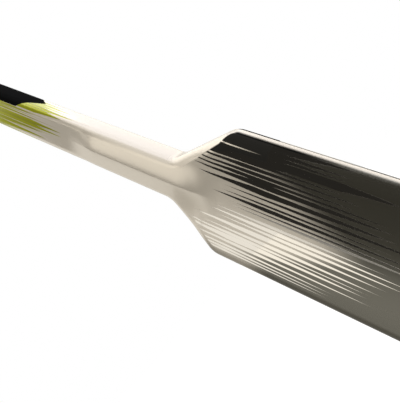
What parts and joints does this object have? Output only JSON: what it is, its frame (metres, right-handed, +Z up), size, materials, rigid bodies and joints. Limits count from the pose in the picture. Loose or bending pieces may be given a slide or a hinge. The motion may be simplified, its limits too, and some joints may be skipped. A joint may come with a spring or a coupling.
{
  "type": "hockey goalie stick",
  "caption": "Composite goalie stick with a slim rectangular shaft, a five-sided grip, sloped shoulders, a wide flat paddle and a curved blade.",
  "frame": {"origin": "centre of the five-sided grip, on the axis of the shaft", "axes": "+Z up in the playing position with the sole flat, +X along the blade toward the toe, -Y out of the front face"},
  "size_m": [1.0741, 0.033, 1.2745],
  "materials": {
    "lacquer": "satin silver lacquer on carbon laminate, with gloss black streaks",
    "foam": "closed-cell foam",
    "carbon": "bare cured carbon laminate",
    "cap": "moulded black plastic"
  },
  "bodies": {
    "root": {"shaft_tube": "lacquer", "grip_front": "lacquer", "grip_back": "lacquer", "paddle_front_skin": "lacquer", "paddle_back_skin": "lacquer", "paddle_rail_inner": "lacquer", "paddle_rail_outer": "lacquer", "blade_front_skin": "lacquer", "blade_back_skin": "lacquer", "blade_edge": "lacquer", "paddle_core_inner": "foam", "paddle_core_outer": "foam", "blade_core_upper": "foam", "blade_core_lower": "foam", "heel_block": "foam", "paddle_spar": "carbon", "blade_rib": "carbon", "neck_tenon": "carbon", "butt_cap": "cap"}
  },
  "joints": []
}
